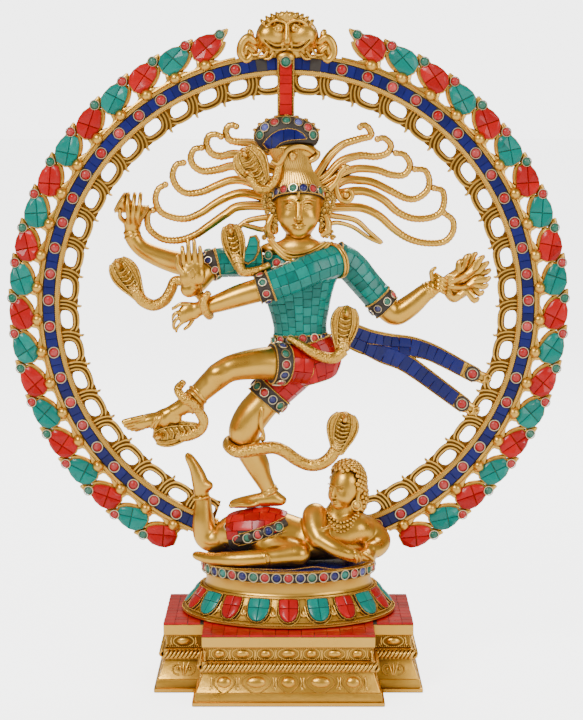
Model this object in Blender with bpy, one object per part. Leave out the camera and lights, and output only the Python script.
"""A brass dancing figure in a ring of flames, with stone inlay, on a stepped pedestal.

The pieces are castings brazed, screwed or pegged together, with bands of stone set in them.
Lengths are given in millimetres and become metres in mm(). +Z is up and the front faces -Y.
The origin is at the middle of the pedestal's foot.
"""

import math

import bmesh
import bpy
from mathutils import Matrix, Vector

MM = 0.001
SLIVERS = (5e-5, 2e-5, 5e-6, 1e-6)
GAP = 0.4  # clearance that two touching pieces are drawn with
CUT_GAP = 0.3  # clearance left where one piece is cut back from another

# Pedestal: a cross-shaped plan, given as half widths of its top slab
WING_X, WING_Y = 93.0, 42.0
FRONT_X, FRONT_Y = 63.0, 75.0
PEDESTAL_TOP = 50.0
PEDESTAL_WALL = 5.0
DECK_THICK = 1.2

# Oval seat: a flaring lotus skirt with a straight plinth on it
SKIRT_FOOT = (80.0, 61.0)
SKIRT_NECK = (64.0, 46.5)
SKIRT_TOP = 72.0
PLINTH_FOOT = (62.5, 45.5)
GEMS_LOW = 83.0
PLINTH_CEILING = 85.0
PLINTH_TOP = 88.5
FLOOR_TOP = 90.8
OVAL_SIDES = 28

# Ring of flames
RING_Y = 16.0
RING_Z = 282.0
RING_HALF_ANGLE = 162.0
RING_OUTER, RING_INNER = 188.3, 174.4
INLAY_OUTER, INLAY_INNER = 185.3, 177.3
LATTICE_OUTER, LATTICE_INNER = 173.6, 159.8
LATTICE_CELLS = 44
RING_SEGMENTS = 48
FLAME_RADIUS, FLAME_COUNT = 206.0, 19
FLAME_FIRST, FLAME_LAST = 17.5, 151.0

# Fixings
SCREW_SHANK, SCREW_HEAD = 2.0, 3.5
STUD_RADIUS = 3.0
STUD_PLACE = (-22.0, -6.0)
SEAT_SCREWS = ((75.0, 0.0), (-75.0, 0.0))
ARCH_SCREWS = ((45.0, 16.0), (-45.0, 16.0))

FINISHES = {
    "brass": ((0.83, 0.55, 0.20), 0.28, 1.0),
    "turquoise": ((0.02, 0.42, 0.38), 0.35, 0.0),
    "coral": ((0.72, 0.04, 0.04), 0.35, 0.0),
    "lapis": ((0.03, 0.05, 0.32), 0.35, 0.0),
    "gem_band": ((0.04, 0.035, 0.03), 0.6, 0.0),
    "steel": ((0.55, 0.55, 0.57), 0.35, 1.0),
}


# ---------------------------------------------------------------- tools


def mm(x, y, z):
    return Vector((x, y, z)) * MM


def clear_scene():
    for item in list(bpy.data.objects):
        bpy.data.objects.remove(item, do_unlink=True)


def finish(name):
    """The material of that name, made once."""
    found = bpy.data.materials.get(name)
    if found:
        return found
    colour, roughness, metallic = FINISHES[name]
    made = bpy.data.materials.new(name)
    made.use_nodes = True
    shader = made.node_tree.nodes["Principled BSDF"]
    shader.inputs["Base Color"].default_value = (*colour, 1.0)
    shader.inputs["Roughness"].default_value = roughness
    shader.inputs["Metallic"].default_value = metallic
    return made


def add(name, mesh, material):
    """A named object that holds this bmesh, closed and facing outwards."""
    bmesh.ops.remove_doubles(mesh, verts=mesh.verts, dist=1e-6)
    bmesh.ops.recalc_face_normals(mesh, faces=mesh.faces)
    data = bpy.data.meshes.new(name)
    mesh.to_mesh(data)
    mesh.free()
    data.materials.append(finish(material))
    data.shade_smooth()
    data.set_sharp_from_angle(angle=math.radians(35))
    made = bpy.data.objects.new(name, data)
    bpy.context.scene.collection.objects.link(made)
    return made


def rings_to_mesh(rings, closed_path=False, caps=True):
    """Joins loops of equally many points, one after another, and fills the two ends."""
    mesh = bmesh.new()
    rows = [[mesh.verts.new(point) for point in ring] for ring in rings]
    count = len(rows[0])
    pairs = list(zip(rows, rows[1:]))
    if closed_path:
        pairs.append((rows[-1], rows[0]))
    for low, high in pairs:
        for i in range(count):
            j = (i + 1) % count
            mesh.faces.new((low[i], low[j], high[j], high[i]))
    if caps and not closed_path:
        mesh.faces.new(rows[0])
        mesh.faces.new(rows[-1])
    return mesh


def section_frame(tangent):
    """Two directions across a path: one in the plane of the figure, one towards the back."""
    depth = Vector((0, 1, 0)) - tangent * tangent.y
    if depth.length < 0.2:
        depth = Vector((0, 0, 1)) - tangent * tangent.z
    depth.normalize()
    return tangent.cross(depth).normalized(), depth


def tube_rings(rows, sides, grow=0.0):
    """Loops of an oval tube. A row is x, y, z, half width, half depth."""
    places = [mm(*row[:3]) for row in rows]
    rings = []
    for k, row in enumerate(rows):
        before, after = places[max(k - 1, 0)], places[min(k + 1, len(rows) - 1)]
        side, depth = section_frame((after - before).normalized())
        rings.append([
            places[k]
            + side * math.cos(2 * math.pi * i / sides) * (row[3] + grow) * MM
            + depth * math.sin(2 * math.pi * i / sides) * (row[4] + grow) * MM
            for i in range(sides)
        ])
    return rings


def full_rows(points):
    """Rows x, y, z, half width, half depth. A row of four numbers is round."""
    return [tuple(row) if len(row) == 5 else (*row, row[3]) for row in points]


def limb(name, points, material, sides=8):
    """A closed tube through the points, whose radius changes along it."""
    return add(name, rings_to_mesh(tube_rings(full_rows(points), sides)), material)


def skin(name, points, first, last, thick, material, sides=8):
    """A shell round a limb of these points, from its row `first` to its row `last`.

    It has the limb's own facets, so the clearance is the same all round.
    """
    rows = full_rows(points)
    outer = tube_rings(rows, sides, thick)[first:last + 1]
    inner = tube_rings(rows, sides, GAP)[first:last + 1]
    step = Vector(rows[first + 1][:3]) - Vector(rows[first][:3])
    shift = step.normalized() * GAP * MM
    outer[0] = [point + shift for point in outer[0]]
    inner[0] = [point + shift for point in inner[0]]
    return add(name, rings_to_mesh([*outer, *reversed(inner)], closed_path=True), material)


def ball(name, centre, radii, material, sides=10, rows=6, tilt=0.0):
    """An ellipsoid. tilt turns it about Y, in degrees."""
    mesh = bmesh.new()
    bmesh.ops.create_uvsphere(mesh, u_segments=sides, v_segments=rows, radius=1.0)
    place = (
        Matrix.Translation(mm(*centre))
        @ Matrix.Rotation(math.radians(tilt), 4, "Y")
        @ Matrix.Diagonal((*(mm(*radii)), 1.0))
    )
    bmesh.ops.transform(mesh, matrix=place, verts=mesh.verts)
    return add(name, mesh, material)


def cylinder(name, x, y, low, high, radius, material, sides=12):
    rings = [
        [mm(x + radius * math.cos(2 * math.pi * i / sides),
            y + radius * math.sin(2 * math.pi * i / sides), z) for i in range(sides)]
        for z in (low, high)
    ]
    return add(name, rings_to_mesh(rings), material)


def oval_turning(name, profile, material, bored=True):
    """A profile of half width, half depth and height, carried round an oval."""
    rings = [
        [mm(a * math.cos(t), b * math.sin(t), z)
         for t in (2 * math.pi * i / OVAL_SIDES for i in range(OVAL_SIDES))]
        for a, b, z in profile
    ]
    return add(name, rings_to_mesh(rings, closed_path=bored), material)


def slab(name, outline, back, front, material):
    """An outline in X and Z, between two values of Y."""
    rings = [[mm(x, y, z) for x, z in outline] for y in (back, front)]
    return add(name, rings_to_mesh(rings), material)


def combine(piece, other, operation):
    """Applies a Boolean to the piece and leaves its plain mesh.

    EXACT gives nothing where a grown copy folds over itself in a tight corner, so every cut
    uses MANIFOLD, which takes any closed mesh.
    """
    step = piece.modifiers.new("step", "BOOLEAN")
    step.operation = operation
    step.object = other
    step.solver = "MANIFOLD"
    bpy.context.view_layer.update()
    graph = bpy.context.evaluated_depsgraph_get()
    made = bpy.data.meshes.new_from_object(piece.evaluated_get(graph))
    piece.modifiers.clear()
    piece.data = made


def fuse(name, first, *others):
    """One body made of overlapping shapes."""
    for other in others:
        combine(first, other, "UNION")
        bpy.data.objects.remove(other)
    first.name = name
    keep_largest(first)
    return first


def without_slivers(mesh):
    """The mesh with its shortest edges merged, as far as it stays closed."""
    for distance in SLIVERS:
        trial = mesh.copy()
        bmesh.ops.remove_doubles(trial, verts=trial.verts, dist=distance)
        bmesh.ops.triangulate(trial, faces=trial.faces)
        bmesh.ops.dissolve_degenerate(trial, edges=trial.edges, dist=distance / 10)
        if all(len(edge.link_faces) == 2 for edge in trial.edges):
            mesh.free()
            return trial
        trial.free()
    return mesh


def keep_largest(piece):
    """Drops the crumbs and slivers that a cut leaves on the piece."""
    mesh = bmesh.new()
    mesh.from_mesh(piece.data)
    mesh = without_slivers(mesh)
    waiting, islands = set(mesh.verts), []
    while waiting:
        stack, island = [waiting.pop()], []
        while stack:
            vert = stack.pop()
            island.append(vert)
            for edge in vert.link_edges:
                near_end = edge.other_vert(vert)
                if near_end in waiting:
                    waiting.remove(near_end)
                    stack.append(near_end)
        islands.append(island)
    islands.sort(key=len, reverse=True)
    for island in islands[1:]:
        bmesh.ops.delete(mesh, geom=island, context="VERTS")
    mesh.to_mesh(piece.data)
    mesh.free()


def grown(piece, gap):
    """A copy of the piece with its surface pushed out by the gap."""
    mesh = bmesh.new()
    mesh.from_mesh(piece.data)
    mesh.normal_update()
    shifts = [(v, v.normal * gap * MM * v.calc_shell_factor()) for v in mesh.verts]
    for vert, shift in shifts:
        vert.co += shift.normalized() * min(shift.length, 2 * gap * MM)
    data = bpy.data.meshes.new("grown")
    mesh.to_mesh(data)
    mesh.free()
    made = bpy.data.objects.new("grown", data)
    bpy.context.scene.collection.objects.link(made)
    return made


def box_of(item):
    corners = [item.matrix_world @ v.co for v in item.data.vertices]
    return [(min(c[i] for c in corners), max(c[i] for c in corners)) for i in range(3)]


def near(a, b, margin=1.0):
    """True if the two pieces' boxes come within the margin."""
    pad = margin * MM
    return all(low_a - pad < high_b and low_b - pad < high_a
               for (low_a, high_a), (low_b, high_b) in zip(box_of(a), box_of(b)))


def fit(piece, *neighbours):
    """Cuts the piece back from its neighbours, with a small gap."""
    for neighbour in neighbours:
        if near(piece, neighbour):
            cutter = grown(neighbour, CUT_GAP)
            combine(piece, cutter, "DIFFERENCE")
            bpy.data.objects.remove(cutter)
            keep_largest(piece)
            combine(piece, neighbour, "DIFFERENCE")
            keep_largest(piece)
    return piece


def drill(piece, x, y, low, high, radius):
    cutter = cylinder("drill", x, y, low, high, radius, "steel")
    combine(piece, cutter, "DIFFERENCE")
    bpy.data.objects.remove(cutter)
    keep_largest(piece)


# ---------------------------------------------------------------- pedestal and seat


def cross_plan(grow):
    """The pedestal's twelve corners, moved outwards by `grow`."""
    wx, wy, fx, fy = WING_X + grow, WING_Y + grow, FRONT_X + grow, FRONT_Y + grow
    quarter = ((wx, wy), (fx, wy), (fx, fy))
    return [
        *quarter,
        *((-x, y) for x, y in reversed(quarter)),
        *((-x, -y) for x, y in quarter),
        *((x, -y) for x, y in reversed(quarter)),
    ]


def pedestal_casting():
    """A hollow casting: foot plate, fascia, sloping petals, rope, frieze and top slab."""
    outside = ((0, 7), (3, 7), (3.2, 5.2), (10, 4.6), (24, -0.5), (25.5, 1.2), (31, 1.2),
               (32.5, -2.5), (41.5, -1.5), (42, 0), (PEDESTAL_TOP, 0))
    rings = [[mm(x, y, z) for x, y in cross_plan(grow)] for z, grow in outside]
    body = add("pedestal_casting", rings_to_mesh(rings), "brass")
    ceiling = PEDESTAL_TOP - PEDESTAL_WALL
    hollow = [[mm(x, y, z) for x, y in cross_plan(grow)]
              for z, grow in ((-1, 2), (24, -6), (ceiling, -8))]
    cutter = add("hollow", rings_to_mesh(hollow), "brass")
    combine(body, cutter, "DIFFERENCE")
    bpy.data.objects.remove(cutter)
    opening = oval_turning("opening", ((50, 34, 40), (50, 34, 55)), "brass", bored=False)
    combine(body, opening, "DIFFERENCE")
    bpy.data.objects.remove(opening)
    keep_largest(body)
    return body


def coral_deck():
    low = PEDESTAL_TOP + GAP
    rings = [[mm(x, y, z) for x, y in cross_plan(-0.8)] for z in (low, low + DECK_THICK)]
    deck = add("coral_deck_inlay", rings_to_mesh(rings), "coral")
    opening = oval_turning("opening", ((66, 47, 40), (66, 47, 60)), "coral", bored=False)
    combine(deck, opening, "DIFFERENCE")
    bpy.data.objects.remove(opening)
    keep_largest(deck)
    return deck


def lotus_skirt():
    """The flaring seat, a shell with a flat rim at its foot that the seat screws enter."""
    foot = PEDESTAL_TOP + DECK_THICK + 2 * GAP
    (fa, fb), (na, nb) = SKIRT_FOOT, SKIRT_NECK
    profile = (
        (fa, fb, foot), (fa, fb, foot + 2.2), (na + 6.5, nb + 6, foot + 13),
        (na, nb, SKIRT_TOP), (na - 4.5, nb - 4.5, SKIRT_TOP), (na - 0.5, nb - 0.5, foot + 11),
        (fa - 10, fb - 10, foot + 6), (fa - 10, fb - 10, foot),
    )
    return oval_turning("lotus_skirt", profile, "brass")


def petal_band():
    """The stones on the petals, with the bed that they are set in, as one sloping band."""
    foot = PEDESTAL_TOP + DECK_THICK + 2 * GAP
    (fa, fb), (na, nb) = SKIRT_FOOT, SKIRT_NECK
    profile = (
        (fa - 2.6, fb - 2.3, foot + 6.0), (na + 5.4, nb + 5.0, foot + 15.4),
        (na + 7.4, nb + 7.0, foot + 16.4), (fa - 0.6, fb - 0.4, foot + 7.0),
    )
    return oval_turning("petal_stone_inlay", profile, "turquoise")


def oval_plinth():
    """A turned drum, hollow from below, with a ledge round its top for the gem band."""
    low = SKIRT_TOP + GAP
    (a, b), wall = PLINTH_FOOT, 4.0
    profile = (
        (a - wall, b - wall, PLINTH_CEILING), (a - wall, b - wall, low), (a, b, low),
        (a + 1.5, b + 1.5, GEMS_LOW - GAP), (a - 0.2, b - 0.2, GEMS_LOW - GAP),
        (a - 0.2, b - 0.2, PLINTH_TOP),
    )
    return oval_turning("oval_plinth", profile, "brass", bored=False)


def plinth_gem_band():
    a, b = PLINTH_FOOT
    profile = ((a + 0.2, b + 0.2, GEMS_LOW), (a + 3.2, b + 3.2, GEMS_LOW),
               (a + 3.2, b + 3.2, FLOOR_TOP), (a + 0.2, b + 0.2, FLOOR_TOP))
    return oval_turning("plinth_gem_band", profile, "gem_band")


def lapis_floor():
    a, b = PLINTH_FOOT[0] - 0.2, PLINTH_FOOT[1] - 0.2
    low = PLINTH_TOP + GAP
    return oval_turning("lapis_floor_inlay", ((a, b, low), (a, b, FLOOR_TOP)), "lapis",
                        bored=False)


# ---------------------------------------------------------------- ring of flames


def ring_point(radius, degrees, y):
    """A point of the ring, at an angle from its top, towards +X."""
    angle = math.radians(degrees)
    return mm(radius * math.sin(angle), y, RING_Z + radius * math.cos(angle))


def ring_band(name, section, material, start=-RING_HALF_ANGLE, end=RING_HALF_ANGLE):
    """A section of radius and Y carried along the ring between two angles, closed at its ends."""
    spans = round(RING_SEGMENTS * (end - start) / (2 * RING_HALF_ANGLE))
    rings = []
    for k in range(spans + 1):
        angle = start + (end - start) * k / spans
        rings.append([ring_point(radius, angle, y) for radius, y in section])
    return add(name, rings_to_mesh(rings), material)


def arch_ring():
    front, back, floor = RING_Y - 4.0, RING_Y + 4.0, RING_Y - 2.0
    section = (
        (RING_INNER, back), (RING_INNER, front), (INLAY_INNER - GAP, front),
        (INLAY_INNER - GAP, floor), (INLAY_OUTER + GAP, floor), (INLAY_OUTER + GAP, front),
        (RING_OUTER, front), (RING_OUTER, back),
    )
    return ring_band("arch_ring", section, "brass")


def ring_inlay():
    floor, front = RING_Y - 2.0 - GAP, RING_Y - 4.4
    section = ((INLAY_INNER, floor), (INLAY_INNER, front), (INLAY_OUTER, front),
               (INLAY_OUTER, floor))
    half = RING_HALF_ANGLE - 5.0
    return ring_band("ring_stone_inlay", section, "lapis", -half, half)


def arch_lattice():
    """A band of openings between bars, with a rim on each side."""
    front, back = RING_Y - 2.5, RING_Y + 2.5
    radii = (LATTICE_INNER, LATTICE_INNER + 3.6, LATTICE_OUTER - 1.4, LATTICE_OUTER)
    half = RING_HALF_ANGLE - 1.0
    step = 2 * half / LATTICE_CELLS
    bar = 0.4 * step
    angles = [-half]
    for cell in range(LATTICE_CELLS):
        start = -half + cell * step
        angles += [start + bar, start + step]
    angles.append(half + bar)
    mesh = bmesh.new()
    grid = {}
    for layer, y in enumerate((front, back)):
        for k, angle in enumerate(angles):
            for r, radius in enumerate(radii):
                grid[layer, k, r] = mesh.verts.new(ring_point(radius, angle, y))

    def solid(k, r):
        if not (0 <= k < len(angles) - 1 and 0 <= r < len(radii) - 1):
            return False
        return r != 1 or k % 2 == 0

    for k in range(len(angles) - 1):
        for r in range(len(radii) - 1):
            if not solid(k, r):
                continue
            for layer in (0, 1):
                corners = [grid[layer, k, r], grid[layer, k + 1, r],
                           grid[layer, k + 1, r + 1], grid[layer, k, r + 1]]
                mesh.faces.new(corners if layer else corners[::-1])
            sides = (((k, r), (k + 1, r), (k, r - 1)), ((k, r + 1), (k + 1, r + 1), (k, r + 1)),
                     ((k, r), (k, r + 1), (k - 1, r)), ((k + 1, r), (k + 1, r + 1), (k + 1, r)))
            for a, b, beyond in sides:
                if not solid(*beyond):
                    mesh.faces.new((grid[(0, *a)], grid[(0, *b)], grid[(1, *b)], grid[(1, *a)]))
    return add("arch_lattice", mesh, "brass")


# A flame's outer edge from its foot to its tip and back: distance along the ring, then radius
FLAME_EDGE = ((-12.0, 199.0), (-10.5, 208.0), (-2.0, 213.5), (8.0, 213.0), (17.5, 210.5),
              (11.0, 202.0))


def flame_row(name, side):
    """Bud-shaped flames that lean upwards along a thin rail. side is -1 for the left."""
    rail = RING_OUTER + 2 * GAP
    step = (FLAME_LAST - FLAME_FIRST) / (FLAME_COUNT - 1)
    inner, outer = [], []
    for k in range(FLAME_COUNT):
        angle = FLAME_LAST - step * k
        for along, radius in FLAME_EDGE:
            outer.append((angle - math.degrees(along / FLAME_RADIUS), radius))
        inner.append((angle, rail))
    ends = ((FLAME_LAST + 4.5, rail), (FLAME_LAST + 4.5, 196.0)), (
        (FLAME_FIRST - 5.5, 196.0), (FLAME_FIRST - 5.5, rail))
    edge = [*ends[0], *outer, *ends[1], *reversed(inner)]
    points = [ring_point(radius, side * angle, 0) / MM for angle, radius in edge]
    return slab(name, [(p.x, p.z) for p in points], RING_Y + 3, RING_Y - 3, "brass")


def arch_foot(name, side):
    """The bracket under one end of the ring."""
    low = FLOOR_TOP + GAP
    outline = ((40, low), (54.5, low), (54, low + 8), (62, low + 18), (52, low + 22),
               (42, low + 10))
    return slab(name, [(side * x, z) for x, z in outline], RING_Y + 5, RING_Y - 5, "brass")


def lion_mask():
    """The guardian mask over the top of the ring."""
    face = ball("lion_mask", (-1, 16, 483), (25, 9, 20), "brass", 12, 8)
    ears = [ball("ear", (-1 + side * 31, 16, 473), (9, 5, 9), "brass", 8, 5)
            for side in (-1, 1)]
    return fuse("lion_mask", face, *ears)


def strap_rows(half_width, half_depth, forwards):
    """The strap from the crown up to the ring; forwards moves it towards the front."""
    return [(-2, y - forwards, z, half_width, half_depth) for y, z in ((2, 426), (6, 443), (13, 459))]


# ---------------------------------------------------------------- dwarf

DWARF_TRUNK = [(-46, 0, 108, 8), (-44, -1, 109, 13), (-32, -5, 111, 15.5), (-18, -6, 112, 17.5),
               (-4, -7.5, 107, 15.5), (22, -9, 109, 17), (44, -8, 112, 18.5), (62, -6, 108, 12)]
DWARF_FRONT_LEG = [(-22, -14, 112, 12), (-8, -24, 107, 11), (7, -30, 101.5, 8.3),
                   (-14, -33, 98.5, 6.5), (-38, -32, 97, 5), (-62, -22, 95.5, 3.6)]
DWARF_BACK_LEG = [(-38, 2, 110, 11), (-56, 4, 104, 8.5), (-64, 4, 112, 7.5), (-65, 4, 132, 5.5),
                  (-67, 4, 146, 4.2, 6), (-75, 4, 164, 2.5, 5)]
DWARF_NEAR_ARM = [(22, -18, 126, 8.5), (28, -30, 113, 7), (33, -37, 107, 6.5),
                  (50, -36, 101, 5), (60, -30, 101, 6)]
DWARF_FAR_ARM = [(60, -4, 114, 9), (71, -10, 106, 7), (62, -22, 101, 5.5)]
DWARF_NECK = [(34, -9, 118, 11), (38, -10, 128, 8), (40, -11, 133, 7.5)]


def dwarf_body():
    limbs = (DWARF_TRUNK, DWARF_FRONT_LEG, DWARF_BACK_LEG, DWARF_NEAR_ARM, DWARF_FAR_ARM,
             DWARF_NECK)
    return fuse("dwarf_body", *[limb("part", rows, "brass") for rows in limbs])


def dwarf_head():
    return fuse("dwarf_head", ball("skull", (45, -10, 151), (14.5, 14, 17), "brass", 10, 8, 20),
                ball("ear", (52, -15, 137), (4.5, 4.5, 6), "brass", 6, 4),
                limb("jaw", [(42, -11, 148, 10), (41, -11, 138, 8.4)], "brass"))


# ---------------------------------------------------------------- figure

TRUNK_SIDES = 10
TRUNK = [(12, -6, 234, 22, 13), (11.5, -6, 246, 23, 15), (9.6, -5.5, 256, 20, 14),
         (8.9, -5, 261, 18.2, 13.2), (8.6, -5, 268, 17.6, 13), (8, -5, 284, 21, 14.5),
         (7, -5, 304, 27, 16), (8, -4, 317, 33, 14), (8, -4, 327, 19, 10),
         (7, -5, 334, 9.5, 9.5), (7.5, -6, 343, 8.5, 8.5)]
RAISED_LEG = [(12, -11, 240, 13.5), (-3, -20, 242.5, 12.8), (-12, -24, 243.4, 12.2),
              (-25, -28, 243.5, 11), (-43, -32, 240.5, 9), (-56, -33, 231, 9),
              (-70, -32, 219, 7), (-84, -31, 208.5, 5), (-94, -31, 204.5, 6),
              (-106, -31, 202, 5, 7), (-117, -31, 200, 3, 6.5)]
STANDING_LEG = [(6, -6, 238, 14.5), (-10, -7.2, 222, 13), (-18, -8, 213, 12.2),
                (-27, -9.2, 201.5, 11), (-33.5, -10, 190, 10.5), (-30, -8, 176, 9.8),
                (-22, -6, 160, 7.6), (-14.5, -5, 144, 5.2), (-12, -5, 136, 5.6)]
STANDING_FOOT = [(-3, -5, 135.6, 4.2, 5), (-14, -5, 136.2, 5.0, 6), (-30, -6, 134.6, 4.0, 7.5),
                 (-46, -7, 133.4, 2.8, 6.5)]
SLEEVE_THICK, CUFF_THICK = 1.9, 3.4

# Each arm runs from inside the shoulder. Its sleeve covers the first rows and the cuff the next.
ARM_CROSSING = [(38, -10, 319, 10), (20, -21, 314, 10), (4, -26, 307.5, 9.5),
                (-13, -27, 301.2, 9), (-21.5, -27.4, 298.3, 8.4), (-36, -27.5, 294, 8),
                (-53, -27, 288, 6), (-64, -26, 285, 7, 4.5), (-76, -26, 279, 8, 4),
                (-88, -26, 273.5, 5, 3)]
ARM_FLAME = [(34, 1, 321, 10), (46, 4, 314, 10), (58, 6, 300.4, 9.5), (67, 7.2, 289.8, 9.2),
             (73.5, 7.8, 282.2, 8.8), (81, 8, 277, 8.3), (92, 8, 283.5, 8), (103, 8, 293, 6.8),
             (113.6, 8, 298.6, 5.4)]
FLAME_HAND = [(114.0, 8, 298.9, 5.4), (124, 8, 302, 8.5, 6), (136, 8, 307, 13, 7),
              (147, 8, 309, 12, 6)]
ARM_DRUM = [(-20, 10, 317, 8.6), (-38, 11, 317, 8.6), (-54, 11, 315.5, 8.6), (-62, 10.5, 314, 8.4),
            (-78, 9, 314.2, 8.2), (-96, 6, 319.5, 7), (-110, 6, 326.5, 6), (-117, 6, 335, 6.5),
            (-114, 6, 351, 7)]
ARM_RAISED = [(-20, -9, 317, 8.8), (-38, -11.5, 317, 8.8), (-53, -13.5, 316.5, 8.8),
              (-60, -15, 312.5, 8.6), (-68, -22, 303, 8), (-73, -30, 299, 7, 5),
              (-70, -34, 308, 11, 5), (-70, -34, 320, 11, 4), (-73, -34, 335, 7, 3.5)]
ARMS = (("crossing_arm", ARM_CROSSING, 3), ("raised_hand_arm", ARM_RAISED, 2),
        ("drum_arm", ARM_DRUM, 2), ("flame_arm", ARM_FLAME, 3))

HEADBAND = [(7.6, -6, 368.5, 14.2, 15.2), (7.4, -5.6, 376, 12.4, 12.6)]

SASH_UPPER = [(46, -4, 262, 7), (60, 2, 255.5, 8.5), (78, 8, 250.5, 9.5), (96, 11, 251, 6.5),
              (112, 13, 246, 6), (127, 14, 237.5, 5.6), (141, 15, 229.6, 5.6)]
SASH_LOWER = [(74, 7, 249, 8), (88, 10, 240.5, 6.5), (104, 12, 229, 6), (119, 13, 217.5, 6),
              (133, 14, 206.8, 5.8)]
SASH_CORE, SASH_SKIN = 3.0, 2.4

# Locks of hair, from the nape outwards. Each has a root, a sweep and a curled tip.
HAIR_LEFT = (
    [(-8, 5, 401), (-24, 6, 404), (-38, 6, 405), (-46, 6, 410), (-40, 6, 416.5)],
    [(-8, 5, 387), (-38, 6, 395.5), (-56, 6, 396), (-61, 6, 404.5), (-53, 6, 410)],
    [(-8, 5, 375), (-39, 6, 386), (-61, 6, 384), (-72, 6, 391), (-66, 6, 400)],
    [(-8, 5, 363), (-36, 6, 376.5), (-58, 6, 371), (-77, 6, 367.8), (-86, 6, 379), (-77, 6, 388)],
    [(-8, 5, 353), (-33, 6, 367), (-54, 6, 360.5), (-77, 6, 349), (-97, 6, 355), (-94, 6, 370)],
    [(-8, 5, 344), (-36, 6, 357), (-59, 6, 343.8), (-82, 6, 332.6), (-103, 6, 340)],
)
HAIR_RIGHT = (
    [(14, 5, 377), (26, 6, 389), (38, 6, 401.5), (54, 6, 407.8), (60, 6, 413), (53.5, 6, 416.6)],
    [(14, 5, 369), (34, 6, 385), (48, 6, 394.6), (66, 6, 395), (76, 6, 402), (68, 6, 407.5)],
    [(14, 5, 362), (36, 6, 377.5), (54, 6, 385.6), (76, 6, 381.8), (90, 6, 388), (82, 6, 396.5)],
    [(14, 5, 355), (40, 6, 371.5), (62, 6, 376), (84, 6, 365), (103, 6, 370), (99, 6, 383)],
    [(14, 5, 348), (42, 6, 364.5), (62, 6, 367), (82, 6, 353.5), (106, 6, 349.6), (115, 6, 365),
     (107, 6, 371)],
    [(14, 5, 341), (46, 6, 356), (66, 6, 351.5), (88, 6, 334.6), (114, 6, 331), (123, 6, 344),
     (115, 6, 352)],
)
HAIR_ROOT_LEFT = [(-9, 5, 340, 5), (-10, 5, 350, 6.5), (-11, 5, 385, 6.5), (-9, 5, 403, 5)]
HAIR_ROOT_RIGHT = [(15, 5, 338, 5), (16, 5, 346, 6.5), (16, 5, 370, 6.5), (14, 5, 380, 5)]
STRAND = 2.5

# Snakes: the body's path, then the spread hood's centre, radii and lean in degrees
SNAKES = {
    "crown_cobra": ([(-2, -15, 398, 2.6), (-9, -17, 388, 3), (-14, -18, 376, 3.4),
                     (-20, -17, 371, 3.6), (-25, -16, 379, 3.4)],
                    (-26, -15, 387), (7.5, 4, 13), -25),
    "shoulder_cobra": ([(-30, -25, 313, 3), (-36, -25, 312, 3.4), (-38, -24, 320, 3.4)],
                       (-40, -23, 331), (8, 4, 18), -14),
    "arm_cobra": ([(-78, -8, 304, 3), (-84, -8, 300, 4), (-87, -11, 293, 4.2),
                   (-95, -13, 287, 4.4), (-105, -14, 288, 4.6), (-112, -14, 296, 4.6)],
                  (-118, -14, 305), (8, 4.5, 16), -38),
    "waist_cobra": ([(-2, -24, 262, 2.8), (8, -25, 257.5, 3.4), (20, -25, 251.5, 4),
                     (32, -22, 247, 4.2), (41, -19, 251, 4.2)],
                    (41.5, -18, 269), (8.5, 4.5, 17), 8),
    "knee_cobra": ([(-46, -14, 184, 3.6), (-40, -23, 178, 4.4), (-27, -25, 178, 4.6),
                    (-8, -22, 179, 4.6), (3, -21, 172.5, 4.6), (15, -20, 166.5, 4.4),
                    (28, -20, 169, 4.6), (34, -20, 177, 4.8)],
                   (39.5, -20, 190), (10.5, 4.5, 16), 14),
    "ankle_snake": ([(-76, -43, 224, 3.2), (-70, -42, 218, 3.6), (-66, -38, 208, 3.8),
                     (-65, -33, 199, 3.8), (-72, -32, 194, 4)],
                    (-82, -31, 190.5), (13, 4, 6), 0),
}


def arm(name, points, sleeve_end):
    """The brass arm with its stone sleeve and its gem cuff."""
    return (limb(name, points, "brass"),
            skin(name + "_sleeve_inlay", points, 0, sleeve_end, SLEEVE_THICK, "turquoise"),
            skin(name + "_gem_cuff", points, sleeve_end, sleeve_end + 1, CUFF_THICK, "gem_band"))


def head_casting():
    """The head with the bun of hair that the crown caps."""
    topknot = [(6, -5, 368, 11, 10), (4, -4, 378, 12, 10), (-1, -4, 399, 15, 10)]
    return fuse("head", ball("skull", (7.7, -6, 358), (16, 17, 20.5), "brass", 12, 10),
                ball("jaw", (7.7, -10, 346), (11, 10, 9), "brass", 8, 6),
                limb("topknot", topknot, "brass"))


def ribbon(name, points, material, thick, offset):
    """A flat band. A row is x, y, z and half width; the offset brings it forwards."""
    rows = [(x, y - offset, z, half, thick / 2) for x, y, z, half in points]
    return limb(name, rows, material, 6)


def sash(name, material, thick, offset):
    """The end of the waist scarf, which divides in two."""
    return fuse(name, ribbon(name, SASH_UPPER, material, thick, offset),
                ribbon("lower", SASH_LOWER, material, thick, offset))


def hair_fan(name, strands, root):
    """Locks that stream out and curl up, from a stem behind the head."""
    locks = [limb("lock", [(*p, STRAND) for p in points], "brass", 5) for points in strands]
    return fuse(name, limb("stem", root, "brass", 8), *locks)


def snake(name, body, centre, radii, lean):
    return fuse(name, limb(name, body, "brass", 6), ball("hood", centre, radii, "brass", 8, 6, lean))


# ---------------------------------------------------------------- fixings


def screw(name, x, y, head_low, head_high, top):
    """A cheese-head screw that points up."""
    rings = [
        [mm(x + r * math.cos(2 * math.pi * i / 8), y + r * math.sin(2 * math.pi * i / 8), z)
         for i in range(8)]
        for r, z in ((SCREW_HEAD, head_low), (SCREW_HEAD, head_high),
                     (SCREW_SHANK, head_high), (SCREW_SHANK, top))
    ]
    return add(name, rings_to_mesh(rings), "steel")


# ---------------------------------------------------------------- assembly


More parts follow.
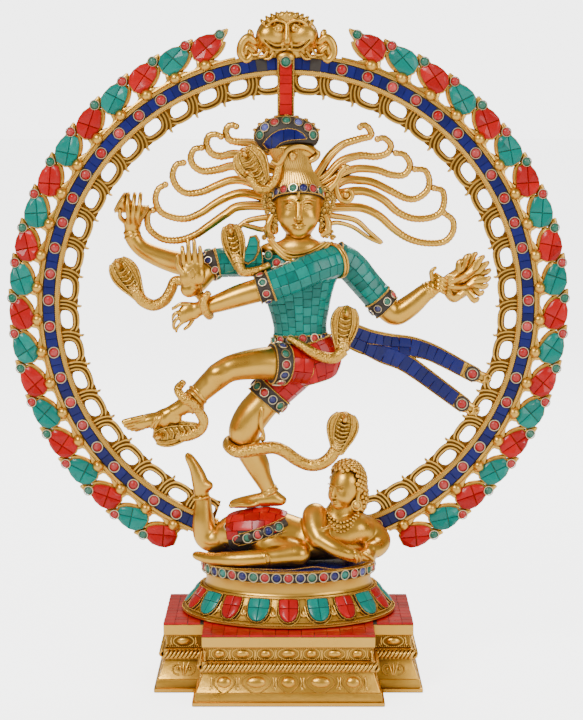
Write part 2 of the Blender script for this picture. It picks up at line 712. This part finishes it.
def base_pieces():
    return {
        "pedestal": pedestal_casting(),
        "deck": coral_deck(),
        "skirt": lotus_skirt(),
        "petals": petal_band(),
        "plinth": oval_plinth(),
        "gems": plinth_gem_band(),
        "floor": lapis_floor(),
    }


def ring_pieces():
    ring, lattice = arch_ring(), arch_lattice()
    feet = [fit(arch_foot("foot", side), lattice) for side in (-1, 1)]
    return [fuse("arch_ring", ring, *feet), lattice, ring_inlay(), flame_row("flame_row_left", -1),
            flame_row("flame_row_right", 1)]


def figure_pieces():
    """Every piece of the two figures, in the order in which they are fitted to each other."""
    yield dwarf_body()
    yield skin("dwarf_coral_shorts", DWARF_TRUNK, 1, 4, 2.0, "coral")
    yield dwarf_head()
    yield limb("torso_casting", TRUNK, "brass", TRUNK_SIDES)
    yield limb("raised_leg", RAISED_LEG, "brass")
    yield fuse("standing_leg", limb("leg", STANDING_LEG, "brass"),
               limb("foot", STANDING_FOOT, "brass"))
    yield skin("raised_thigh_gem_cuff", RAISED_LEG, 1, 2, 3.0, "gem_band")
    yield skin("standing_thigh_gem_cuff", STANDING_LEG, 1, 2, 3.0, "gem_band")
    yield skin("coral_shorts_inlay", TRUNK, 0, 2, 2.4, "coral", TRUNK_SIDES)
    yield skin("belt_gem_band", TRUNK, 2, 3, 3.2, "gem_band", TRUNK_SIDES)
    yield skin("torso_turquoise_inlay", TRUNK, 3, 7, 2.0, "turquoise", TRUNK_SIDES)
    yield head_casting()
    yield skin("headband_gem_band", HEADBAND, 0, 1, 2.4, "gem_band", 12)
    yield ball("crown_gem_cap", (-1.5, -4, 410), (25, 13, 15), "gem_band", 12, 8)
    for name, points, sleeve_end in ARMS:
        yield from arm(name, points, sleeve_end)
    yield fuse("hourglass_drum", ball("drum", (-125, 6, 356), (6.5, 6.5, 7), "brass", 8, 6),
               ball("drum", (-115, 6, 361), (6.5, 6.5, 7), "brass", 8, 6))
    yield limb("flame_in_hand", FLAME_HAND, "brass")
    for name, (body, centre, radii, lean) in SNAKES.items():
        yield snake(name, body, centre, radii, lean)
    yield hair_fan("hair_fan_left", HAIR_LEFT, HAIR_ROOT_LEFT)
    yield hair_fan("hair_fan_right", HAIR_RIGHT, HAIR_ROOT_RIGHT)
    yield sash("sash_casting", "brass", SASH_CORE, 0)
    yield sash("sash_lapis_inlay", "lapis", SASH_SKIN, (SASH_CORE + SASH_SKIN) / 2 + GAP)
    yield lion_mask()
    yield limb("crown_strap", strap_rows(6.2, 2.2, 0), "brass", 4)
    yield limb("strap_coral_inlay", strap_rows(4.6, 1.2, 3.8), "coral", 4)


def fixings(base, ring, figure):
    """Screws through the seat and the ring's feet, and the stud that holds the figure."""
    ceiling = PEDESTAL_TOP - PEDESTAL_WALL
    for k, (x, y) in enumerate(SEAT_SCREWS, 1):
        for piece in (base["pedestal"], base["deck"], base["skirt"]):
            drill(piece, x, y, ceiling - 5, 57.5, SCREW_SHANK + GAP)
        screw(f"seat_screw_{k}", x, y, ceiling - 4, ceiling - GAP, 56.5)
    for (x, y), side in zip(ARCH_SCREWS, ("right", "left")):
        for piece in (base["plinth"], base["floor"], ring):
            drill(piece, x, y, 80, 99.5, SCREW_SHANK + GAP)
        screw(f"arch_screw_{side}", x, y, 81.5, PLINTH_CEILING - GAP, 98.5)
    x, y = STUD_PLACE
    stud_top = 133.4
    for piece in (base["plinth"], base["floor"], *figure):
        drill(piece, x, y, 70, stud_top + 0.6, STUD_RADIUS + GAP)
    cylinder("figure_stud", x, y, 76.0, stud_top, STUD_RADIUS, "steel", 10)
    nut = cylinder("stud_nut", x, y, PLINTH_CEILING - 6, PLINTH_CEILING - GAP, 6.0, "steel", 6)
    drill(nut, x, y, 75, 90, STUD_RADIUS + GAP)


def build():
    clear_scene()
    base = base_pieces()
    ring = ring_pieces()
    done = [*base.values(), *ring]
    for piece in figure_pieces():
        done.append(fit(piece, *done))
    pegged = [bpy.data.objects[name] for name in ("dwarf_body", "dwarf_coral_shorts",
                                                  "standing_leg")]
    fixings(base, ring[0], pegged)


build()
